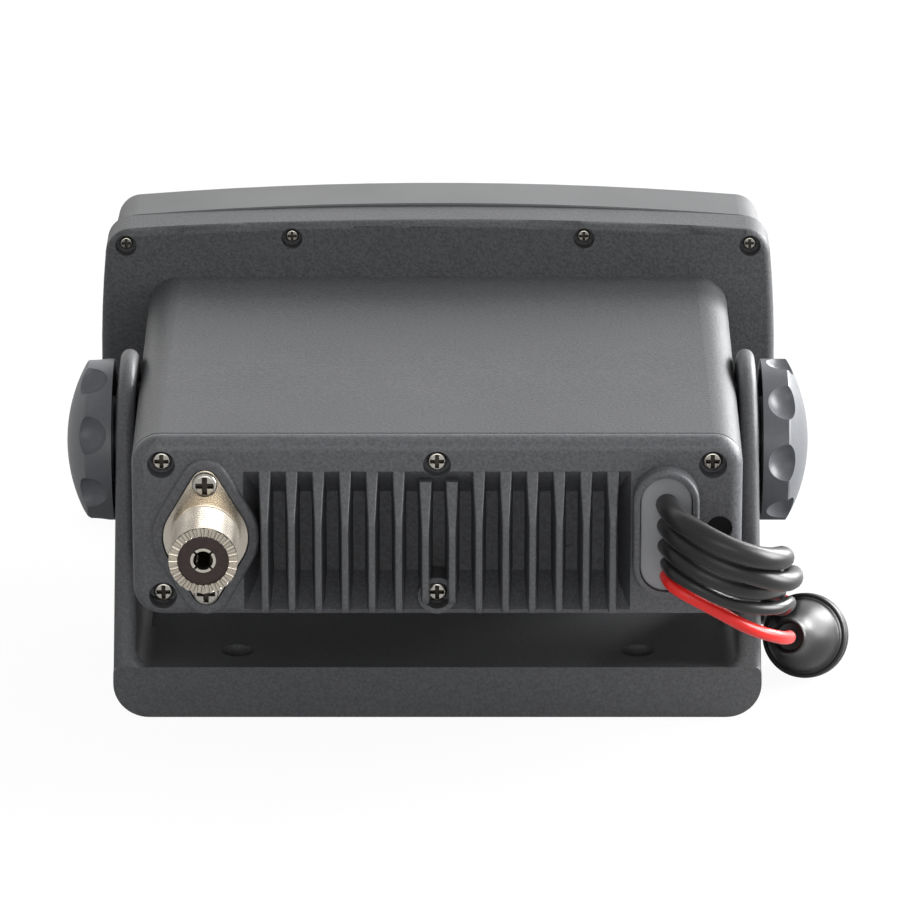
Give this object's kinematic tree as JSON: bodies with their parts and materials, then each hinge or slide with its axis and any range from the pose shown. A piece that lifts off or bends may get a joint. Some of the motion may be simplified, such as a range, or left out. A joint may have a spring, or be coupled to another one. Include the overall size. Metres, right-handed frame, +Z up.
{
  "type": "vhf marine radio",
  "caption": "Fixed-mount VHF marine radio on a trunnion bracket, with finned heat sink, aerial socket, clamp knobs, hinged distress guard and a bundle of leads.",
  "frame": {"origin": "middle of the bracket's underside, at the centre of its four screw holes", "axes": "+X across the radio, along the tilt axis; +Y out of the rear, along the aerial socket; +Z up"},
  "size_m": [0.1891, 0.2739, 0.0977],
  "materials": {
    "housing_plastic": "fine moulded grain, satin",
    "cover_plastic": "fine moulded grain, satin",
    "sink_coating": "dark satin coating on cast aluminium",
    "bracket_plastic": "satin",
    "knob_plastic": "satin",
    "seal_rubber": "matt",
    "gland_rubber": "matt",
    "pad_rubber": "matt",
    "screw_steel": "nickel plated",
    "stud_steel": "plain",
    "washer_steel": "black finish",
    "socket_nickel": "nickel plated brass",
    "socket_insulator": "moulded phenolic",
    "contact_brass": "plated",
    "circuit_board": "solder resist",
    "tin_shield": "plain",
    "amplifier_case": "plain",
    "display_lens": "clear, tinted",
    "lcd_panel": "glossy",
    "speaker_cone": "matt",
    "key_rubber": "matt",
    "flap_red": "satin",
    "dial_plastic": "satin",
    "cable_black": "satin",
    "wire_red": "satin",
    "boot_rubber": "satin",
    "plug_plastic": "satin",
    "fuse_glass": "clear with metal caps",
    "vent_fabric": "porous"
  },
  "bodies": {
    "bracket_and_leads": {"bracket": "bracket_plastic", "network_cable": "cable_black", "speaker_cable": "cable_black", "data_cable": "cable_black", "power_lead_black": "cable_black", "power_lead_red": "wire_red", "power_lead_red_tail": "wire_red", "power_lead_black_coil": "cable_black", "power_lead_red_coil": "wire_red", "fuse_holder_front": "boot_rubber", "fuse_holder_rear": "boot_rubber", "fuse": "fuse_glass", "network_plug": "plug_plastic", "speaker_plug": "plug_plastic", "data_plug": "plug_plastic"},
    "radio": {"rear_housing": "housing_plastic", "front_cover": "cover_plastic", "heat_sink": "sink_coating", "casing_seals": "seal_rubber", "heat_sink_screws": "screw_steel", "bezel_screws": "screw_steel", "board_screws": "screw_steel", "socket_shell": "socket_nickel", "socket_insulator": "socket_insulator", "socket_contact": "contact_brass", "socket_screws": "screw_steel", "cable_gland": "gland_rubber", "vent_plug": "vent_fabric", "main_board": "circuit_board", "transmitter_shield": "tin_shield", "power_amplifier": "amplifier_case", "front_board": "circuit_board", "keypad_mat": "key_rubber", "lcd_module": "lcd_panel", "display_lens": "display_lens", "speaker": "speaker_cone", "dial_encoders": "amplifier_case", "distress_hinge_pin": "stud_steel", "microphone_socket": "socket_nickel", "microphone_insert": "socket_insulator", "microphone_pins": "contact_brass", "friction_pads": "pad_rubber", "knob_inserts": "contact_brass"},
    "right_clamp_washer": {"right_washer": "washer_steel"},
    "right_clamp": {"right_clamp_knob": "knob_plastic", "right_knob_stud": "stud_steel"},
    "left_clamp_washer": {"left_washer": "washer_steel"},
    "left_clamp": {"left_clamp_knob": "knob_plastic", "left_knob_stud": "stud_steel"},
    "volume_dial": {"volume_knob": "dial_plastic", "volume_shaft": "stud_steel"},
    "channel_dial": {"channel_knob": "dial_plastic", "channel_shaft": "stud_steel"},
    "soft_key_1_body": {"soft_key_1": "key_rubber"},
    "soft_key_2_body": {"soft_key_2": "key_rubber"},
    "soft_key_3_body": {"soft_key_3": "key_rubber"},
    "soft_key_4_body": {"soft_key_4": "key_rubber"},
    "channel_16_key_body": {"channel_16_key": "key_rubber"},
    "distress_key_body": {"distress_key": "flap_red"},
    "distress_flap": {"distress_cover": "flap_red"}
  },
  "joints": [
    {"name": "tilt", "type": "hinge", "parent": "bracket_and_leads", "child": "radio", "pos_m": [0, 0, 0.06], "axis": [1, 0, 0], "range_deg": [-28, 10], "deforming": ["network_cable", "speaker_cable", "data_cable", "power_lead_black", "power_lead_red"]},
    {"name": "right_clamp_travel", "type": "slide", "parent": "radio", "child": "right_clamp_washer", "axis": [1, 0, 0], "range_m": [0, 0.001]},
    {"name": "right_clamp_turn", "type": "hinge", "parent": "right_clamp_washer", "child": "right_clamp", "pos_m": [0.08, 0, 0.06], "axis": [1, 0, 0], "range_deg": [0, 360]},
    {"name": "left_clamp_travel", "type": "slide", "parent": "radio", "child": "left_clamp_washer", "axis": [-1, 0, 0], "range_m": [0, 0.001]},
    {"name": "left_clamp_turn", "type": "hinge", "parent": "left_clamp_washer", "child": "left_clamp", "pos_m": [-0.08, 0, 0.06], "axis": [-1, 0, 0], "range_deg": [0, 360]},
    {"name": "volume_turn", "type": "hinge", "parent": "radio", "child": "volume_dial", "pos_m": [0.058, -0.098, 0.0815], "axis": [0, -1, 0], "range_deg": [-150, 150]},
    {"name": "channel_turn", "type": "hinge", "parent": "radio", "child": "channel_dial", "pos_m": [0.058, -0.098, 0.0385], "axis": [0, -1, 0], "continuous": true},
    {"name": "soft_key_1_press", "type": "slide", "parent": "radio", "child": "soft_key_1_body", "axis": [0, 1, 0], "range_m": [0, 0.0007], "stiffness_N_per_m": 1500, "springref_m": -0.0005},
    {"name": "soft_key_2_press", "type": "slide", "parent": "radio", "child": "soft_key_2_body", "axis": [0, 1, 0], "range_m": [0, 0.0007], "stiffness_N_per_m": 1500, "springref_m": -0.0005},
    {"name": "soft_key_3_press", "type": "slide", "parent": "radio", "child": "soft_key_3_body", "axis": [0, 1, 0], "range_m": [0, 0.0007], "stiffness_N_per_m": 1500, "springref_m": -0.0005},
    {"name": "soft_key_4_press", "type": "slide", "parent": "radio", "child": "soft_key_4_body", "axis": [0, 1, 0], "range_m": [0, 0.0007], "stiffness_N_per_m": 1500, "springref_m": -0.0005},
    {"name": "channel_16_key_press", "type": "slide", "parent": "radio", "child": "channel_16_key_body", "axis": [0, 1, 0], "range_m": [0, 0.0007], "stiffness_N_per_m": 1500, "springref_m": -0.0005},
    {"name": "distress_key_press", "type": "slide", "parent": "radio", "child": "distress_key_body", "axis": [0, 1, 0], "range_m": [0, 0.0007], "stiffness_N_per_m": 1500, "springref_m": -0.0005},
    {"name": "distress_cover_lift", "type": "hinge", "parent": "radio", "child": "distress_flap", "pos_m": [-0.062, -0.0937, 0.0462], "axis": [-1, 0, 0], "range_deg": [0, 110], "stiffness_Nm_per_rad": 0.004, "springref_deg": -20.05}
  ],
  "couplings": [
    {"joint": "right_clamp_travel", "follows": "right_clamp_turn", "m_per_rad": 0.00015915},
    {"joint": "left_clamp_travel", "follows": "left_clamp_turn", "m_per_rad": 0.00015915}
  ]
}
